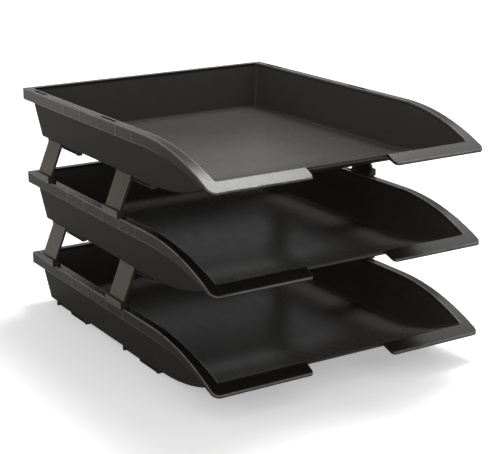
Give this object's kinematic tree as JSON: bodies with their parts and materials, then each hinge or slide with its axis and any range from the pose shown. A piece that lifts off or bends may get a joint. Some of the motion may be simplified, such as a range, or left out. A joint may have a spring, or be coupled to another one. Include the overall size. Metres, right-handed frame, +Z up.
{
  "type": "letter tray stack",
  "caption": "Stack of open-fronted letter trays with swept side rims, scooped fronts and finger cut-outs, each carried over the next by leaning plug-in side risers.",
  "frame": {"origin": "on the surface that the stack stands on, under the middle of the tray rim", "axes": "+Z up, +X to the right as seen from the open front, front towards -Y"},
  "size_m": [0.2706, 0.36, 0.213],
  "materials": {
    "tray_plastic": "dark charcoal moulded plastic, rims and lips smooth and half glossy, outer walls finely textured",
    "riser_plastic": "dark charcoal moulded plastic, half glossy"
  },
  "bodies": {
    "bottom_tray": {"bottom_tray": "tray_plastic"},
    "middle_tray": {"middle_tray": "tray_plastic"},
    "top_tray": {"top_tray": "tray_plastic"},
    "lower_left_rear_riser": {"lower_left_rear_riser": "riser_plastic"},
    "lower_right_rear_riser": {"lower_right_rear_riser": "riser_plastic"},
    "lower_left_front_riser": {"lower_left_front_riser": "riser_plastic"},
    "lower_right_front_riser": {"lower_right_front_riser": "riser_plastic"},
    "upper_left_rear_riser": {"upper_left_rear_riser": "riser_plastic"},
    "upper_right_rear_riser": {"upper_right_rear_riser": "riser_plastic"},
    "upper_left_front_riser": {"upper_left_front_riser": "riser_plastic"},
    "upper_right_front_riser": {"upper_right_front_riser": "riser_plastic"}
  },
  "joints": [
    {"name": "middle_tray_lift", "type": "slide", "parent": "bottom_tray", "child": "middle_tray", "axis": [0, 0, 1], "range_m": [0, 0.04]},
    {"name": "top_tray_lift", "type": "slide", "parent": "middle_tray", "child": "top_tray", "axis": [0, 0, 1], "range_m": [0, 0.04]},
    {"name": "lower_left_rear_riser_pull", "type": "slide", "parent": "bottom_tray", "child": "lower_left_rear_riser", "axis": [0, 0, 1], "range_m": [0, 0.012]},
    {"name": "lower_right_rear_riser_pull", "type": "slide", "parent": "bottom_tray", "child": "lower_right_rear_riser", "axis": [0, 0, 1], "range_m": [0, 0.012]},
    {"name": "lower_left_front_riser_pull", "type": "slide", "parent": "bottom_tray", "child": "lower_left_front_riser", "axis": [0, 0, 1], "range_m": [0, 0.012]},
    {"name": "lower_right_front_riser_pull", "type": "slide", "parent": "bottom_tray", "child": "lower_right_front_riser", "axis": [0, 0, 1], "range_m": [0, 0.012]},
    {"name": "upper_left_rear_riser_pull", "type": "slide", "parent": "middle_tray", "child": "upper_left_rear_riser", "axis": [0, 0, 1], "range_m": [0, 0.012]},
    {"name": "upper_right_rear_riser_pull", "type": "slide", "parent": "middle_tray", "child": "upper_right_rear_riser", "axis": [0, 0, 1], "range_m": [0, 0.012]},
    {"name": "upper_left_front_riser_pull", "type": "slide", "parent": "middle_tray", "child": "upper_left_front_riser", "axis": [0, 0, 1], "range_m": [0, 0.012]},
    {"name": "upper_right_front_riser_pull", "type": "slide", "parent": "middle_tray", "child": "upper_right_front_riser", "axis": [0, 0, 1], "range_m": [0, 0.012]}
  ],
  "couplings": [
    {"joint": "lower_left_rear_riser_pull", "follows": "middle_tray_lift", "ratio": 0.3},
    {"joint": "lower_right_rear_riser_pull", "follows": "middle_tray_lift", "ratio": 0.3},
    {"joint": "lower_left_front_riser_pull", "follows": "middle_tray_lift", "ratio": 0.3},
    {"joint": "lower_right_front_riser_pull", "follows": "middle_tray_lift", "ratio": 0.3},
    {"joint": "upper_left_rear_riser_pull", "follows": "top_tray_lift", "ratio": 0.3},
    {"joint": "upper_right_rear_riser_pull", "follows": "top_tray_lift", "ratio": 0.3},
    {"joint": "upper_left_front_riser_pull", "follows": "top_tray_lift", "ratio": 0.3},
    {"joint": "upper_right_front_riser_pull", "follows": "top_tray_lift", "ratio": 0.3}
  ]
}
